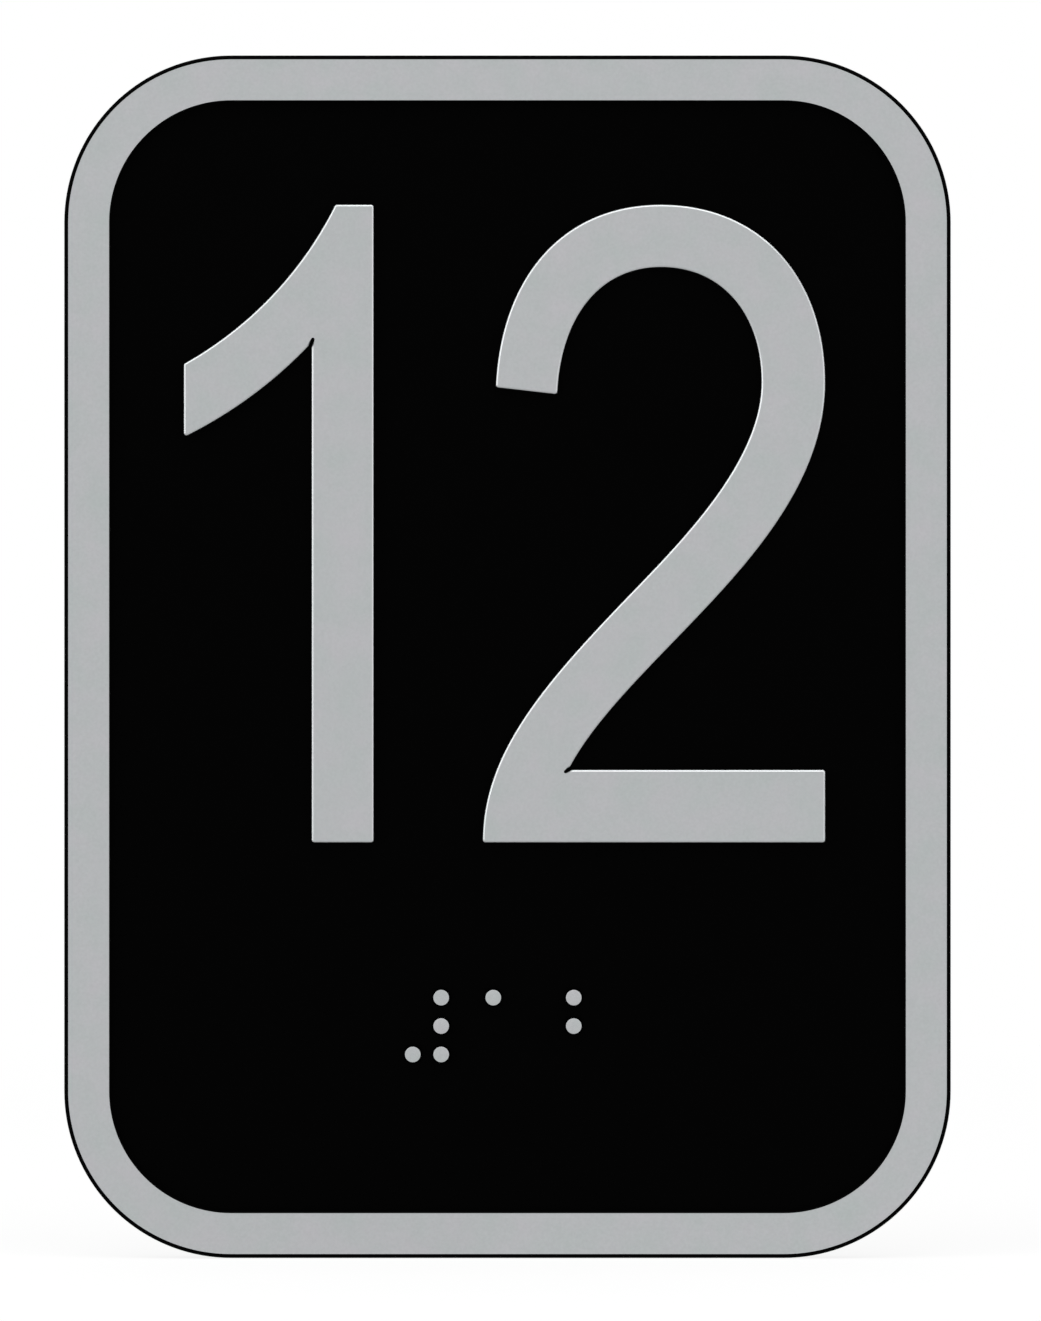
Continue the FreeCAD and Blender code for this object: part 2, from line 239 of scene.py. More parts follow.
@dataclass(frozen=True)
class Cutter:
    """Marks that the small cutter leaves in the corners of a numeral.

    A short straight lead on each side of a mark keeps its smooth shading off the long edges.
    """

    corner_round: float = 0.2 * MM
    slot_width: float = 0.29 * MM
    slot_reach: float = 0.25 * MM
    lead: float = 0.15 * MM
    corner_steps: int = 8
    slot_steps: int = 12

    def cut(self, corner: Corner, tip: Vector, back: Vector, onward: Vector) -> tuple[float, list[Vector]]:
        """Work out how a corner is cut.

        Args:
            corner: Kind of corner.
            tip: Where the two edges meet.
            back: Unit direction from the tip back along the first edge.
            onward: Unit direction from the tip along the second edge.

        Returns:
            Length that the cut and its lead take off each edge, and the points that take its place.
        """
        if corner is Corner.SMOOTH:
            return 0.0, [tip]
        middle = -(back + onward).normalized()
        half_angle = back.angle(onward) / 2
        side = (back - middle * back.dot(middle)).normalized()
        if corner is Corner.ROUNDED:
            taken = self.corner_round / math.tan(half_angle)
            centre = tip - middle * (self.corner_round / math.sin(half_angle))
            half_turn = math.pi / 2 - half_angle
            points = fan(centre, self.corner_round, middle, side, half_turn, self.corner_steps)
        else:
            half_width = self.slot_width / 2
            taken = half_width / math.sin(half_angle)
            centre = tip + middle * self.slot_reach
            end = fan(centre, half_width, middle, side, math.pi / 2, self.slot_steps)
            points = [tip + back * taken, *end, tip + onward * taken]
        taken += self.lead
        return taken, [tip + back * taken, *points, tip + onward * taken]


class OutlinePen:
    """Draws a closed outline edge by edge, anticlockwise, and cuts its corners when it closes."""

    CURVE_POINTS = 48
    ARC_STEPS = 40

    def __init__(self, start: Vector) -> None:
        """Set the pen down at the first point."""
        self.edges: list[tuple[list[Vector], Corner]] = []
        self.spot = start

    def _draw(self, points: list[Vector], corner: Corner) -> None:
        """Add an edge and move to its end."""
        self.edges.append((points, corner))
        self.spot = points[-1]

    def line(self, end: Vector, corner: Corner) -> None:
        """Draw a straight edge, with the corner at its end."""
        self._draw([self.spot, end], corner)

    def curve(self, end: Vector, leave: Vector, arrive: Vector, corner: Corner) -> None:
        """Draw a cubic edge, given by its last point and by each handle's offset from its own point."""
        points = interpolate_bezier(self.spot, self.spot + leave, end + arrive, end, self.CURVE_POINTS)
        self._draw([Vector(point[:2]) for point in points], corner)

    def arc(self, end: Vector, radius: float, bow: Bow, corner: Corner) -> None:
        """Draw an arc of less than half a turn.

        Args:
            end: Last point.
            radius: Radius of the arc.
            bow: Way that the arc bends.
            corner: Corner at the edge's end.
        """
        half_chord = (end - self.spot) / 2
        middle = -leftward(half_chord.normalized()) * bow.value
        rise = math.sqrt(radius**2 - half_chord.length_squared)
        centre = self.spot + half_chord - middle * rise
        half_turn = math.asin(half_chord.length / radius)
        points = fan(centre, radius, middle, -half_chord.normalized(), half_turn, self.ARC_STEPS)
        self._draw([self.spot, *points[1:-1], end], corner)

    def close(self, cutter: Cutter) -> Outline:
        """Cut the corners and join the edges.

        Args:
            cutter: Sizes of the cuts.

        Returns:
            The closed outline.
        """
        runs = [points for points, _ in self.edges]
        cuts = []
        for (points, corner), following in zip(self.edges, runs[1:] + runs[:1]):
            tip = points[-1]
            back = (points[-2] - tip).normalized()
            onward = (following[1] - tip).normalized()
            cuts.append(cutter.cut(corner, tip, back, onward))
        joined: list[Vector] = []
        sharp: set[int] = set()
        for (points, corner), (taken_first, _), (taken_last, cut_points) in zip(
            self.edges, cuts[-1:] + cuts[:-1], cuts
        ):
            run = shortened(points, taken_last)
            run = shortened(run[::-1], taken_first)[::-1]
            joined += run[1:-1] + cut_points
            if corner is Corner.SLOTTED:  # all but the lead and the mouth on each side
                sharp.update(range(len(joined) - len(cut_points) + 2, len(joined) - 2))
        return Outline(tuple(joined), frozenset(sharp))


@dataclass(frozen=True)
class Step:
    """One ring of a section, and the band that leads up to it."""

    inset: float
    depth: float
    zone: Zone = Zone.COATED
    crease: bool = True


class Skin:
    """Closed mesh made of rings of points, the bands between them and the flat faces that end them."""

    def __init__(self) -> None:
        """Start an empty skin."""
        self.mesh = bmesh.new()

    def ring(self, outline: Outline, depth: float) -> Ring:
        """Add the points of an outline at a depth."""
        return [self.mesh.verts.new((point.x, -depth, point.y)) for point in outline.points]

    def edges(self, ring: Ring) -> list[bmesh.types.BMEdge]:
        """Edges that run round a ring."""
        return [self.mesh.edges.get((ring[index - 1], ring[index])) for index in range(len(ring))]

    def band(self, first: Ring, second: Ring, zone: Zone) -> None:
        """Join two rings, point for point.

        Args:
            first: Ring that the band starts from.
            second: Ring that it leads to, nearer to the middle or further forward.
            zone: Finish of the band.
        """
        for index in range(len(first)):
            corners = (first[index - 1], first[index], second[index], second[index - 1])
            face = self.mesh.faces.new(corners)
            face.material_index = zone.value
            face.smooth = True

    def sweep(self, outline: Outline, section: Sequence[Step]) -> tuple[Ring, Ring]:
        """Carry a section round an outline.

        Args:
            outline: Outline that the insets are counted from.
            section: Steps of the section, in order.

        Returns:
            The first and the last ring.
        """
        rings = [self.ring(outline.inset(step.inset), step.depth) for step in section]
        for first, second, step in zip(rings, rings[1:], section[1:]):
            self.band(first, second, step.zone)
        for ring, step in zip(rings, section):
            for edge in self.edges(ring):
                edge.smooth = not step.crease
        return rings[0], rings[-1]

    def fill(self, rings: Sequence[Ring], zone: Zone, facing: Facing) -> None:
        """Close a flat face between an outer ring and any rings inside it.

        Args:
            rings: Rings of the face.
            zone: Finish of the face.
            facing: Way that the face looks.
        """
        edges = [edge for ring in rings for edge in self.edges(ring)]
        normal = (0, facing.value, 0)
        filled = bmesh.ops.triangle_fill(self.mesh, use_beauty=True, edges=edges, normal=normal)
        for face in filled["geom"]:
            if not isinstance(face, bmesh.types.BMFace):
                continue
            face.normal_update()
            if face.normal.y * facing.value < 0:
                face.normal_flip()
            face.material_index = zone.value
            face.smooth = False

    def finish(self, name: str) -> bpy.types.Object:
        """Turn the skin into an object of the scene.

        Args:
            name: Name of the object.

        Returns:
            The new object.
        """
        if any(len(edge.link_faces) != 2 for edge in self.mesh.edges):
            raise RuntimeError(f"{name} is not closed")
        mesh = bpy.data.meshes.new(name)
        self.mesh.to_mesh(mesh)
        self.mesh.free()
        piece = bpy.data.objects.new(name, mesh)
        bpy.context.scene.collection.objects.link(piece)
        return piece


class Signal:
    """Value that runs through a finish's nodes. Arithmetic on it adds Math nodes."""

    PATTERN_MIDDLE = 0.5

    def __init__(self, graph: "FinishGraph", socket: bpy.types.NodeSocket) -> None:
        """Wrap a node's output."""
        self.graph = graph
        self.socket = socket

    def _math(self, operation: str, first: "Signal | float", second: "Signal | float") -> "Signal":
        """Add one Math node."""
        return self.graph.node("ShaderNodeMath", {"operation": operation}, {0: first, 1: second})

    def __add__(self, other: "Signal | float") -> "Signal":
        """This value plus another."""
        return self._math("ADD", self, other)

    def __radd__(self, other: float) -> "Signal":
        """A number plus this value."""
        return self._math("ADD", other, self)

    def __sub__(self, other: "Signal | float") -> "Signal":
        """This value less another."""
        return self._math("SUBTRACT", self, other)

    def __rsub__(self, other: float) -> "Signal":
        """A number less this value."""
        return self._math("SUBTRACT", other, self)

    def __mul__(self, other: "Signal | float") -> "Signal":
        """This value times another."""
        return self._math("MULTIPLY", self, other)

    def __rmul__(self, other: float) -> "Signal":
        """A number times this value."""
        return self._math("MULTIPLY", other, self)

    def at_most(self, limit: float) -> "Signal":
        """This value, held down to a limit."""
        return self._math("MINIMUM", self, limit)

    def swing(self, amount: float) -> "Signal":
        """This pattern's swing to either side of its middle, times an amount."""
        return amount * (self - self.PATTERN_MIDDLE)


class FinishGraph:
    """Node tree of one finish.

    A Mix node's sockets for colours share their names with others, so they are known by their places.
    """

    FINE_LAYERS = 2.0
    RICH_LAYERS = 3.0
    MIX_FACTOR = 0
    MIX_FIRST = 6
    MIX_SECOND = 7
    MIX_RESULT = 2

    def __init__(self, owner: bpy.types.Material | bpy.types.World) -> None:
        """Take over an owner's node tree and empty it.

        Args:
            owner: Material or world that the nodes are for.
        """
        owner.use_nodes = True
        self.tree = owner.node_tree
        self.tree.nodes.clear()

    def node(
        self,
        kind: str,
        settings: dict[str, object] | None = None,
        inputs: dict[str | int, object] | None = None,
        output: str | int = 0,
    ) -> Signal:
        """Add a node.

        Args:
            kind: Node type.
            settings: Properties of the node, set first.
            inputs: Values or signals for its sockets, by name or place.
            output: Output that is returned, by name or place.

        Returns:
            The chosen output.
        """
        node = self.tree.nodes.new(kind)
        for name, setting in (settings or {}).items():
            setattr(node, name, setting)
        for name, value in (inputs or {}).items():
            if isinstance(value, Signal):
                self.tree.links.new(value.socket, node.inputs[name])
            else:
                node.inputs[name].default_value = value
        return Signal(self, node.outputs[output])

    def close(self, kind: str, surface: Signal) -> None:
        """Lead a shader to an output node of the given type."""
        output = self.tree.nodes.new(kind)
        self.tree.links.new(surface.socket, output.inputs["Surface"])

    def place(self) -> Signal:
        """Place of a point on the object, in metres."""
        return self.node("ShaderNodeTexCoord", output="Object")

    def noise(self, place: Signal, size: float, layers: float) -> Signal:
        """Soft random pattern between 0 and 1, by the width of a patch in metres and the finer layers."""
        inputs = {"Vector": place, "Scale": 1 / size, "Detail": layers}
        return self.node("ShaderNodeTexNoise", inputs=inputs)

    def stretched(self, place: Signal, scale: tuple[float, float, float]) -> Signal:
        """Place that is scaled along each axis, for a drawn-out pattern."""
        return self.node("ShaderNodeVectorMath", {"operation": "MULTIPLY"}, {0: place, 1: scale})

    def mixed(self, factor: Signal, first: Signal, second: Signal) -> Signal:
        """Mix of two shaders."""
        return self.node("ShaderNodeMixShader", inputs={0: factor, 1: first, 2: second})

    def blend(self, factor: Signal, first: Colour, second: Colour) -> Signal:
        """Mix of two colours."""
        inputs = {self.MIX_FACTOR: factor, self.MIX_FIRST: first, self.MIX_SECOND: second}
        return self.node("ShaderNodeMix", {"data_type": "RGBA"}, inputs, self.MIX_RESULT)

    def shaded(self, colour: Signal, shade: Signal) -> Signal:
        """Colour that is made darker or lighter.

        Args:
            colour: Colour to change.
            shade: Share of the colour that is left, round 1.

        Returns:
            The new colour.
        """
        settings = {"data_type": "RGBA", "blend_type": "MULTIPLY"}
        inputs = {self.MIX_FACTOR: 1.0, self.MIX_FIRST: colour, self.MIX_SECOND: shade}
        return self.node("ShaderNodeMix", settings, inputs, self.MIX_RESULT)

    def bump(self, height: Signal, relief: float) -> Signal:
        """Surface direction over a fine relief, given by its pattern and its height in metres."""
        return self.node("ShaderNodeBump", inputs={"Strength": 1.0, "Distance": relief, "Height": height})

    def seen(self) -> Signal:
        """Tell what the camera sees from what only lights the scene.

        Returns:
            1 for a look from the camera, straight or by way of a gloss or a clear body, and 0 otherwise.
        """
        direct = self.node("ShaderNodeLightPath", output="Is Camera Ray")
        gloss = self.node("ShaderNodeLightPath", output="Is Glossy Ray")
        clear = self.node("ShaderNodeLightPath", output="Is Transmission Ray")
        return (direct + gloss + clear).at_most(1.0)


class Finish:
    """Way of dressing a surface."""

    name: str

    def surface(self, graph: FinishGraph) -> Signal:
        """Draw the finish's nodes and return the shader."""
        raise NotImplementedError

    def material(self) -> bpy.types.Material:
        """Make the material of this finish.

        Returns:
            The new material.
        """
        material = bpy.data.materials.new(self.name)
        graph = FinishGraph(material)
        graph.close("ShaderNodeOutputMaterial", self.surface(graph))
        return material


@dataclass(frozen=True)
class SatinMetal(Finish):
    """Bare metal, blasted to an even satin: a fine grain and a faint, wider mottle."""

    name: str = "satin_metal"
    cool: Colour = (0.441, 0.472, 0.470, 1.0)
    warm: Colour = (0.464, 0.460, 0.478, 1.0)
    roughness: float = 0.38
    grain_size: float = 0.22 * MM
    grain_shade: float = 0.14
    grain_gloss: float = 0.08
    mottle_size: float = 3.0 * MM
    mottle_tint: float = 2.0
    mottle_shade: float = 0.06
    mottle_gloss: float = 0.10
    relief: float = 0.0008 * MM

    def surface(self, graph: FinishGraph) -> Signal:
        """Draw the finish's nodes.

        Args:
            graph: Node tree to draw in.

        Returns:
            The shader.
        """
        place = graph.place()
        grain = graph.noise(place, self.grain_size, graph.FINE_LAYERS)
        mottle = graph.noise(place, self.mottle_size, graph.RICH_LAYERS)
        tint = graph.blend(Signal.PATTERN_MIDDLE + mottle.swing(self.mottle_tint), self.cool, self.warm)
        shade = 1.0 + grain.swing(self.grain_shade) + mottle.swing(self.mottle_shade)
        return graph.node("ShaderNodeBsdfPrincipled", inputs={
            "Base Color": graph.shaded(tint, shade),
            "Metallic": 1.0,
            "Roughness": self.roughness + mottle.swing(self.mottle_gloss) + grain.swing(self.grain_gloss),
            "Normal": graph.bump(grain, self.relief),
        })


@dataclass(frozen=True)
class BlackCoating(Finish):
    """Black coating, baked on in a thin satin layer with a fine, even texture."""

    name: str = "black_coating"
    deep: Colour = (0.00005, 0.00005, 0.00005, 1.0)
    worn: Colour = (0.0002, 0.0002, 0.0002, 1.0)
    roughness: float = 0.46
    specular: float = 0.014
    texture_size: float = 0.18 * MM
    texture_gloss: float = 0.06
    cloud_size: float = 4.0 * MM
    cloud_gloss: float = 0.12
    relief: float = 0.004 * MM

    def surface(self, graph: FinishGraph) -> Signal:
        """Draw the finish's nodes.

        Args:
            graph: Node tree to draw in.

        Returns:
            The shader.
        """
        place = graph.place()
        texture = graph.noise(place, self.texture_size, graph.FINE_LAYERS)
        cloud = graph.noise(place, self.cloud_size, graph.RICH_LAYERS)
        return graph.node("ShaderNodeBsdfPrincipled", inputs={
            "Base Color": graph.blend(cloud, self.deep, self.worn),
            "Roughness": self.roughness + cloud.swing(self.cloud_gloss) + texture.swing(self.texture_gloss),
            "Specular IOR Level": self.specular,
            "Normal": graph.bump(texture, self.relief),
        })


@dataclass(frozen=True)
class EdgeCoating(Finish):
    """The same black on the sides, thinner and rubbed by handling, over faint lines from milling."""

    name: str = "edge_coating"
    deep: Colour = (0.004, 0.004, 0.004, 1.0)
    rubbed: Colour = (0.016, 0.016, 0.017, 1.0)
    roughness: float = 0.40
    specular: float = 0.22
    line_width: float = 0.10 * MM
    line_length: float = 5.0 * MM
    line_share: float = 0.5
    line_gloss: float = 0.10
    cloud_size: float = 5.0 * MM
    cloud_gloss: float = 0.14
    relief: float = 0.002 * MM

    def surface(self, graph: FinishGraph) -> Signal:
        """Draw the finish's nodes.

        Args:
            graph: Node tree to draw in.

        Returns:
            The shader.
        """
        place = graph.place()
        shrink = self.line_width / self.line_length
        drawn = graph.stretched(place, (shrink, 1.0, shrink))
        lines = graph.noise(drawn, self.line_width, graph.FINE_LAYERS)
        cloud = graph.noise(place, self.cloud_size, graph.RICH_LAYERS)
        wear = self.line_share * lines + (1 - self.line_share) * cloud
        return graph.node("ShaderNodeBsdfPrincipled", inputs={
            "Base Color": graph.blend(wear, self.deep, self.rubbed),
            "Roughness": self.roughness + cloud.swing(self.cloud_gloss) + lines.swing(self.line_gloss),
            "Specular IOR Level": self.specular,
            "Normal": graph.bump(lines, self.relief),
        })


@dataclass(frozen=True)
class GrainedBack(Finish):
    """Bare back of the plate, with the long grain that the sheet came with."""

    name: str = "grained_back"
    dull: Colour = (0.33, 0.335, 0.34, 1.0)
    clear: Colour = (0.47, 0.48, 0.485, 1.0)
    roughness: float = 0.44
    line_width: float = 0.12 * MM
    line_length: float = 18.0 * MM
    line_share: float = 0.65
    line_gloss: float = 0.16
    mottle_size: float = 6.0 * MM
    mottle_gloss: float = 0.10
    relief: float = 0.0015 * MM

    def surface(self, graph: FinishGraph) -> Signal:
        """Draw the finish's nodes.

        Args:
            graph: Node tree to draw in.

        Returns:
            The shader.
        """
        place = graph.place()
        drawn = graph.stretched(place, (1.0, 1.0, self.line_width / self.line_length))
        lines = graph.noise(drawn, self.line_width, graph.RICH_LAYERS)
        mottle = graph.noise(place, self.mottle_size, graph.RICH_LAYERS)
        wear = self.line_share * lines + (1 - self.line_share) * mottle
        return graph.node("ShaderNodeBsdfPrincipled", inputs={
            "Base Color": graph.blend(wear, self.dull, self.clear),
            "Metallic": 1.0,
            "Roughness": self.roughness + lines.swing(self.line_gloss) + mottle.swing(self.mottle_gloss),
            "Normal": graph.bump(lines, self.relief),
        })


@dataclass(frozen=True)
class PaleFloor(Finish):
    """Plain white floor that keeps a light shadow."""

    name: str = "pale_floor"
    colour: Colour = (0.85, 0.85, 0.85, 1.0)
    glow: Colour = (1.0, 1.0, 1.0, 1.0)
    least_glow: float = 0.85
    shadow_reach: float = 0.35

    def surface(self, graph: FinishGraph) -> Signal:
        """Draw the finish's nodes.

        Args:
            graph: Node tree to draw in.

        Returns:
            The shader.
        """
        flat = graph.stretched(graph.place(), (1.0, 1.0, 0.0))
        distance = graph.node("ShaderNodeVectorMath", {"operation": "LENGTH"}, {0: flat}, output="Value")
        away = (distance * (1 / self.shadow_reach)).at_most(1.0)
        glow = self.least_glow + (1 - self.least_glow) * away
        matt = graph.node("ShaderNodeBsdfDiffuse", inputs={"Color": self.colour})
        white = graph.node("ShaderNodeEmission", inputs={"Color": self.glow, "Strength": 1.0})
        return graph.mixed(glow * graph.seen(), matt, white)


def rounded_edge(width: float, rise: float, steps: int) -> list[tuple[float, float]]:
    """Quarter of an oval that leads from a wall over to a face.

    Args:
        width: Distance from the wall to the end of the round.
        rise: Distance from its start to the face.
        steps: Number of straight pieces.

    Returns:
        Distance from the wall and rise of each point past the first.
    """
    turns = [math.pi / 2 * step / steps for step in range(1, steps + 1)]
    return [(width * (1 - math.cos(turn)), rise * math.sin(turn)) for turn in turns]


def cove(radius: float, steps: int) -> list[tuple[float, float]]:
    """Hollow round at the foot of a wall.

    Args:
        radius: Radius of the hollow.
        steps: Number of straight pieces.

    Returns:
        Distance out from the wall and rise above the field of each point, down the wall.
    """
    return [(0.0, radius)] + [(out, radius - down) for out, down in rounded_edge(radius, radius, steps)]


@dataclass(frozen=True)
class PlateBlank:
    """The plate itself: back, outer edge, raised rim and the level of the sunk field."""

    width: float
    height: float
    thickness: float
    corner_radius: float = 14.1 * MM
    relief: float = 0.8 * MM
    rim_width: float = 3.8 * MM
    front_edge_round: float = 0.25 * MM
    coating_lap: float = 0.10 * MM
    back_edge_break: float = 0.3 * MM
    wall_cove: float = 0.1 * MM
    corner_steps: int = 36
    round_steps: int = 6
    cove_steps: int = 3

    @property
    def field_depth(self) -> float:
        """Depth of the sunk field."""
        return self.thickness - self.relief

    def wall_foot(self) -> list[tuple[float, float, bool]]:
        """Points down the cove at a wall's foot: distance out, depth, and if it lies in the field."""
        hollow = cove(self.wall_cove, self.cove_steps)
        return [(out, self.field_depth + rise, rise == 0.0) for out, rise in hollow]

    def build(self, skin: Skin) -> Ring:
        """Build the plate's back, edge and rim.

        Args:
            skin: Skin that the plate is added to.

        Returns:
            The ring round the field, which is still open.
        """
        outline = Outline.rounded_rectangle(self.width, self.height, self.corner_radius, self.corner_steps)
        shoulder = self.thickness - self.front_edge_round
        section = [
            Step(self.back_edge_break, 0.0),
            Step(0.0, self.back_edge_break, Zone.EDGE),
            Step(0.0, shoulder, Zone.EDGE, crease=False),
        ]
        front_round = rounded_edge(self.front_edge_round, self.front_edge_round, self.round_steps)
        section += [Step(inset, shoulder + rise, crease=False) for inset, rise in front_round[:-1]]
        section += [
            Step(self.front_edge_round, self.thickness),
            Step(self.front_edge_round + self.coating_lap, self.thickness),
            Step(self.rim_width, self.thickness, Zone.BARE),
        ]
        section += [Step(self.rim_width + out, depth, crease=flat) for out, depth, flat in self.wall_foot()]
        back, field_ring = skin.sweep(outline, section)
        skin.fill([back], Zone.BACK, Facing.BACK)
        return field_ring


@dataclass(frozen=True)
class Numeral:
    """Raised numeral, measured from its own lower left corner.

    Its front edge is broken by a slope with softened ends, given in shares of the slope's width and drop.
    """

    height: float = 53.85 * MM
    edge_break: float = 0.13 * MM
    edge_drop: float = 0.09 * MM
    edge_slope: tuple[tuple[float, float], ...] = ((0.06, 0.88), (0.9, 0.06), (1.0, 0.0))

    def outline(self, cutter: Cutter) -> Outline:
        """Draw the numeral's outline with its corners cut."""
        raise NotImplementedError

    def build(self, skin: Skin, blank: PlateBlank, corner: Vector, cutter: Cutter) -> Ring:
        """Raise the numeral from the field.

        Args:
            skin: Skin that the numeral is added to.
            blank: Plate that it stands on.
            corner: Place of the numeral's lower left corner.
            cutter: Sizes of the corner cuts.

        Returns:
            The ring round the numeral's foot, in the field.
        """
        front = blank.thickness
        section = [Step(-out, depth, crease=flat) for out, depth, flat in reversed(blank.wall_foot())]
        section.append(Step(0.0, front - self.edge_drop))
        for inset, drop in self.edge_slope:
            depth = front - drop * self.edge_drop
            section.append(Step(inset * self.edge_break, depth, Zone.BARE, crease=drop == 0.0))
        foot, top = skin.sweep(self.outline(cutter).moved(corner), section)
        skin.fill([top], Zone.BARE, Facing.FRONT)
        return foot


@dataclass(frozen=True)
class NumeralOne(Numeral):
    """Numeral one: a stem with a curved flag."""

    width: float = 16.0 * MM
    stem: float = 5.2 * MM
    top_width: float = 3.2 * MM
    flag_drop: float = 13.45 * MM
    flag_end: float = 6.15 * MM
    flag_root: float = 11.6 * MM
    flag_upper_radius: float = 31.4 * MM
    flag_lower_radius: float = 37.3 * MM

    def outline(self, cutter: Cutter) -> Outline:
        """Draw the numeral's outline with its corners cut.

        Args:
            cutter: Sizes of the corner cuts.

        Returns:
            The closed outline.
        """
        stem_left = self.width - self.stem
        flag_top = self.height - self.flag_drop
        pen = OutlinePen(Vector((stem_left, 0.0)))
        pen.line(Vector((self.width, 0.0)), Corner.ROUNDED)
        pen.line(Vector((self.width, self.height)), Corner.ROUNDED)
        pen.line(Vector((self.width - self.top_width, self.height)), Corner.ROUNDED)
        pen.arc(Vector((0.0, flag_top)), self.flag_upper_radius, Bow.INWARD, Corner.ROUNDED)
        pen.line(Vector((0.0, flag_top - self.flag_end)), Corner.ROUNDED)
        root = Vector((stem_left, self.height - self.flag_root))
        pen.arc(root, self.flag_lower_radius, Bow.OUTWARD, Corner.SLOTTED)
        pen.line(Vector((stem_left, 0.0)), Corner.ROUNDED)
        return pen.close(cutter)


@dataclass(frozen=True)
class NumeralTwo(Numeral):
    """Numeral two: a bowl, a slanting spine and a foot."""

    width: float = 28.9 * MM
    foot: float = 6.1 * MM
    crook: float = 7.2 * MM
    crook_angle: float = 63.0
    end_left: float = 1.1 * MM
    end_drop: float = 15.4 * MM
    end_width: float = 5.2 * MM
    end_slant: float = 6.5
    end_lean: float = 87.5
    crown: float = 15.05 * MM
    bowl_drop: float = 15.0 * MM
    bowl_fullness: float = 0.6
    top_stroke: float = 5.25 * MM
    side_stroke: float = 5.35 * MM
    spine_left: float = 14.85 * MM
    spine_height: float = 19.55 * MM
    spine_angle: float = 46.0
    spine_stroke: float = 5.4 * MM
    spine_fullness: float = 0.395
    spine_hollow: float = 0.365
    heel_reach: float = 0.52
    heel_fullness: float = 0.355

    def outline(self, cutter: Cutter) -> Outline:
        """Draw the numeral's outline with its corners cut.

        Args:
            cutter: Sizes of the corner cuts.

        Returns:
            The closed outline.
        """
        widest = self.height - self.bowl_drop
        inner_top = self.height - self.top_stroke
        inner_right = self.width - self.side_stroke
        slope = heading(self.spine_angle)
        lean = heading(self.end_lean)
        up = heading(QUARTER_TURN)
        right = heading(0.0)
        middle = Vector((self.spine_left, self.spine_height))
        spine_right = middle - leftward(slope) * (self.spine_stroke / 2)
        spine_left = middle + leftward(slope) * (self.spine_stroke / 2)
        end_outer = Vector((self.end_left, self.height - self.end_drop))
        end_inner = end_outer + heading(-self.end_slant) * self.end_width
        bowl, spine, hollow = self.bowl_fullness, self.spine_fullness, self.spine_hollow

        pen = OutlinePen(Vector((0.0, 0.0)))
        pen.line(Vector((self.width, 0.0)), Corner.ROUNDED)
        pen.line(Vector((self.width, self.foot)), Corner.ROUNDED)
        pen.line(Vector((self.crook, self.foot)), Corner.SLOTTED)
        climb = spine_right.y - self.foot
        pen.curve(
            spine_right, heading(self.crook_angle) * (self.heel_fullness * climb),
            -slope * (self.heel_reach * climb), Corner.SMOOTH,
        )
        climb = widest - spine_right.y
        pen.curve(
            Vector((self.width, widest)), slope * (spine * climb),
            -up * (spine * climb), Corner.SMOOTH,
        )
        pen.curve(
            Vector((self.crown, self.height)), up * (bowl * (self.height - widest)),
            right * (bowl * (self.width - self.crown)), Corner.SMOOTH,
        )
        pen.curve(
            end_outer, -right * (bowl * (self.crown - end_outer.x)),
            lean * (bowl * (self.height - end_outer.y)), Corner.ROUNDED,
        )
        pen.line(end_inner, Corner.ROUNDED)
        pen.curve(
            Vector((self.crown, inner_top)), lean * (bowl * (inner_top - end_inner.y)),
            -right * (bowl * (self.crown - end_inner.x)), Corner.SMOOTH,
        )
        pen.curve(
            Vector((inner_right, widest)), right * (bowl * (inner_right - self.crown)),
            up * (bowl * (inner_top - widest)), Corner.SMOOTH,
        )
        climb = widest - spine_left.y
        pen.curve(spine_left, -up * (hollow * climb), slope * (hollow * climb), Corner.SMOOTH)
        pen.curve(
            Vector((0.0, 0.0)), -slope * (self.heel_reach * spine_left.y),
            up * (self.heel_fullness * spine_left.y), Corner.ROUNDED,
        )
        return pen.close(cutter)


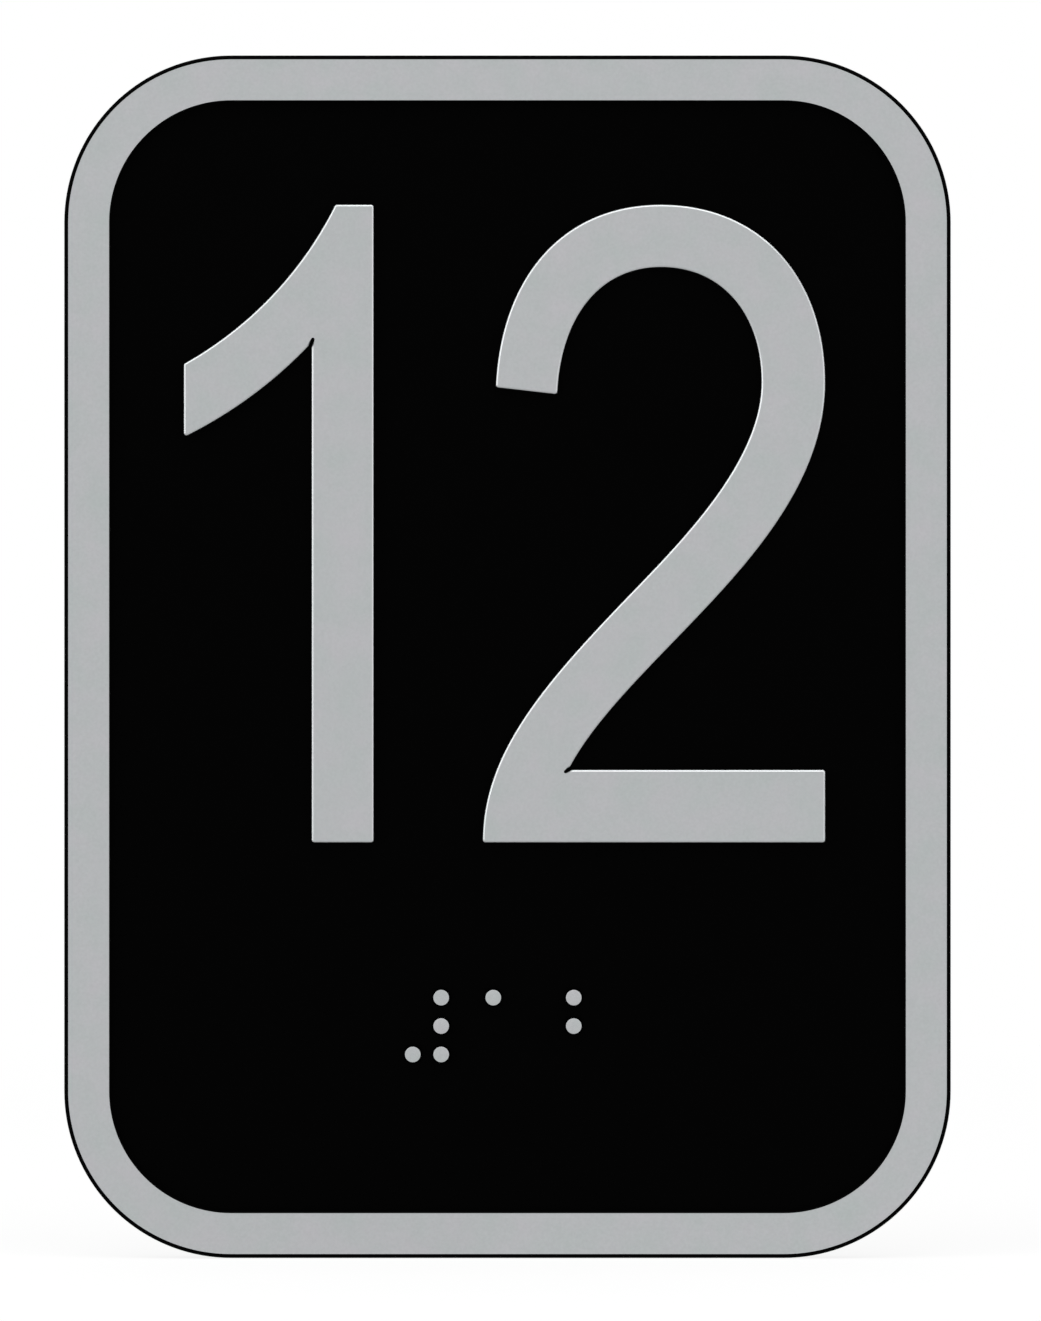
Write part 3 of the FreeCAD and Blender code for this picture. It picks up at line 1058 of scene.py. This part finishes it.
@dataclass(frozen=True)
class BrailleBlock:
    """Seven braille dots: the number sign, then one and two, each by its cell, column and row.

    Each dot has a rounded black flank and a shallow crown, which was ground bare with the numerals' faces.
    """

    dots: tuple[tuple[int, int, int], ...] = (
        (0, 0, 2), (0, 1, 0), (0, 1, 1), (0, 1, 2), (1, 0, 0), (2, 0, 0), (2, 0, 1),
    )
    last_cell: int = 2
    diameter: float = 1.6 * MM
    height: float = 0.8 * MM
    wall: float = 0.3 * MM
    crown_diameter: float = 1.31 * MM
    crown_rise: float = 0.05 * MM
    spacing: float = 2.4 * MM
    cell_pitch: float = 6.8 * MM
    drop: float = 28.8 * MM
    round_steps: int = 48
    flank_steps: int = 4
    crown_steps: int = 6

    def build(self, skin: Skin, blank: PlateBlank) -> list[Ring]:
        """Raise the dots from the field.

        Args:
            skin: Skin that the dots are added to.
            blank: Plate that they stand on.

        Returns:
            The ring round each dot's foot, in the field.
        """
        left = -(self.last_cell * self.cell_pitch + self.spacing) / 2
        feet = []
        for cell, column, row in self.dots:
            centre = Vector((
                left + cell * self.cell_pitch + column * self.spacing, -self.drop - row * self.spacing,
            ))
            outline = Outline.circle(centre, self.diameter / 2, self.round_steps)
            foot, crown = skin.sweep(outline, self.section(blank.field_depth))
            skin.fill([crown], Zone.BARE, Facing.FRONT)
            feet.append(foot)
        return feet

    def section(self, field_depth: float) -> list[Step]:
        """Section of a dot, from its foot to the small flat at the middle of its crown.

        Args:
            field_depth: Depth of the field that the dot stands on.

        Returns:
            Steps of the section.
        """
        shoulder = field_depth + self.wall
        crown_edge = field_depth + self.height - self.crown_rise
        ledge = (self.diameter - self.crown_diameter) / 2
        section = [Step(0.0, field_depth), Step(0.0, shoulder, crease=False)]
        for inset, rise in rounded_edge(ledge, crown_edge - shoulder, self.flank_steps):
            section.append(Step(inset, shoulder + rise, crease=False))
        for step in range(1, self.crown_steps + 1):
            out = 1 - step / (self.crown_steps + 1)
            inset = ledge + self.crown_diameter / 2 * (1 - out)
            depth = crown_edge + self.crown_rise * (1 - out**2)
            section.append(Step(inset, depth, Zone.BARE, crease=False))
        return section


@dataclass
class FloorNumberPlate:
    """The whole sign: the plate with its numerals and braille, in one skin."""

    blank: PlateBlank
    one: NumeralOne = field(default_factory=NumeralOne)
    two: NumeralTwo = field(default_factory=NumeralTwo)
    braille: BrailleBlock = field(default_factory=BrailleBlock)
    cutter: Cutter = field(default_factory=Cutter)
    numeral_rise: float = 11.25 * MM
    numeral_gap: float = 9.25 * MM
    numeral_shift: float = 0.25 * MM

    @classmethod
    def from_frame(cls) -> "FloorNumberPlate":
        """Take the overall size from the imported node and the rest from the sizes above.

        Returns:
            The sign, not built yet.
        """
        low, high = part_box(PLATE_NODE)
        width, thickness, height = high - low
        return cls(PlateBlank(width, height, thickness))

    def build(self) -> bpy.types.Object:
        """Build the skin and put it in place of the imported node.

        Returns:
            The new piece.
        """
        skin = Skin()
        rings = [self.blank.build(skin)]
        baseline = self.numeral_rise - self.one.height / 2
        one_left = -(self.one.width + self.numeral_gap + self.two.width) / 2 - self.numeral_shift
        two_left = one_left + self.one.width + self.numeral_gap
        rings.append(self.one.build(skin, self.blank, Vector((one_left, baseline)), self.cutter))
        rings.append(self.two.build(skin, self.blank, Vector((two_left, baseline)), self.cutter))
        rings += self.braille.build(skin, self.blank)
        skin.fill(rings, Zone.COATED, Facing.FRONT)
        piece = skin.finish("number_plate")
        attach(piece, "root")
        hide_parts(PLATE_NODE)
        return piece

    def dress(self, piece: bpy.types.Object) -> None:
        """Give each zone of the skin its finish.

        Args:
            piece: Piece that was built from the skin.
        """
        finishes = {
            Zone.BARE: SatinMetal(),
            Zone.COATED: BlackCoating(),
            Zone.EDGE: EdgeCoating(),
            Zone.BACK: GrainedBack(),
        }
        for zone in Zone:
            piece.data.materials.append(finishes[zone].material())


@dataclass(frozen=True)
class LampPanel:
    """Flat soft lamp that faces the plate."""

    name: str
    place: tuple[float, float, float]
    width: float
    length: float
    brightness: float

    def build(self) -> None:
        """Hang the lamp, with the power that gives its face the stated brightness."""
        lamp = bpy.data.lights.new(self.name, "AREA")
        lamp.shape = "RECTANGLE"
        lamp.size = self.width
        lamp.size_y = self.length
        lamp.energy = self.brightness * math.pi * self.width * self.length
        holder = bpy.data.objects.new(self.name, lamp)
        holder.location = self.place
        holder.rotation_euler = (-Vector(self.place)).to_track_quat("-Z", "Y").to_euler()
        holder.visible_camera = False
        bpy.context.scene.collection.objects.link(holder)


@dataclass(frozen=True)
class Studio:
    """Plain white room: a floor, an even surround and soft lamps."""

    floor_size: float = 6.0
    floor_clearance: float = 0.05 * MM
    surround: float = 0.75
    white: Colour = (1.0, 1.0, 1.0, 1.0)
    lamps: tuple[LampPanel, ...] = (
        LampPanel("top_lamp", place=(0.0, -0.24, 0.55), width=1.1, length=0.3, brightness=2.6),
        LampPanel("left_lamp", place=(-0.55, -0.24, 0.12), width=0.3, length=0.7, brightness=2.4),
        LampPanel("right_lamp", place=(0.55, -0.24, 0.0), width=0.3, length=0.7, brightness=1.3),
    )

    def build(self, ground: float) -> None:
        """Build the floor, the surround and the lamps.

        Args:
            ground: Height of the plate's lowest point.
        """
        self.build_floor(ground - self.floor_clearance)
        self.build_surround()
        for lamp in self.lamps:
            lamp.build()

    def build_floor(self, level: float) -> None:
        """Lay the floor.

        Args:
            level: Height of the floor.
        """
        half = self.floor_size / 2
        corners = [(-half, -half, level), (half, -half, level), (half, half, level), (-half, half, level)]
        mesh = bpy.data.meshes.new("studio_floor")
        mesh.from_pydata(corners, [], [range(len(corners))])
        floor = bpy.data.objects.new("studio_floor", mesh)
        floor.data.materials.append(PaleFloor().material())
        bpy.context.scene.collection.objects.link(floor)

    def build_surround(self) -> None:
        """Make the world white to the camera and an even soft light for the rest."""
        world = bpy.data.worlds.new("studio_surround")
        graph = FinishGraph(world)
        light = graph.node("ShaderNodeBackground", inputs={"Color": self.white, "Strength": self.surround})
        white = graph.node("ShaderNodeBackground", inputs={"Color": self.white, "Strength": 1.0})
        graph.close("ShaderNodeOutputWorld", graph.mixed(graph.seen(), light, white))
        bpy.context.scene.world = world


@dataclass(frozen=True)
class PhotoCamera:
    """Long lens, square on to the plate, framed as the photograph is."""

    lens: float = 200.0
    sensor: float = 36.0
    nearest: float = 0.01
    frame_height: float = 111.57 * MM
    across: float = 1.10 * MM
    up: float = -0.32 * MM

    def build(self, front: float) -> None:
        """Set the camera up.

        Args:
            front: Place of the plate's front along Y.
        """
        camera = bpy.data.cameras.new("photo_camera")
        camera.lens = self.lens
        camera.sensor_width = self.sensor
        camera.clip_start = self.nearest
        distance = self.frame_height * self.lens / self.sensor
        holder = bpy.data.objects.new("photo_camera", camera)
        holder.location = (self.across, front - distance, self.up)
        holder.rotation_euler = (math.pi / 2, 0.0, 0.0)
        bpy.context.scene.collection.objects.link(holder)
        bpy.context.scene.camera = holder


def main() -> None:
    """Build the sign, dress it, and set up the studio and the camera."""
    logging.basicConfig(level=logging.INFO, format="%(name)s: %(message)s")
    bpy.context.scene.view_settings.view_transform = "Standard"
    plate = FloorNumberPlate.from_frame()
    piece = plate.build()
    plate.dress(piece)
    log.info("%s: %d faces", piece.name, len(piece.data.polygons))
    low, _ = CAD_BOX
    Studio().build(low.z)
    PhotoCamera().build(low.y)
    log.info("studio and camera ready")


if __name__ == "__main__":
    main()
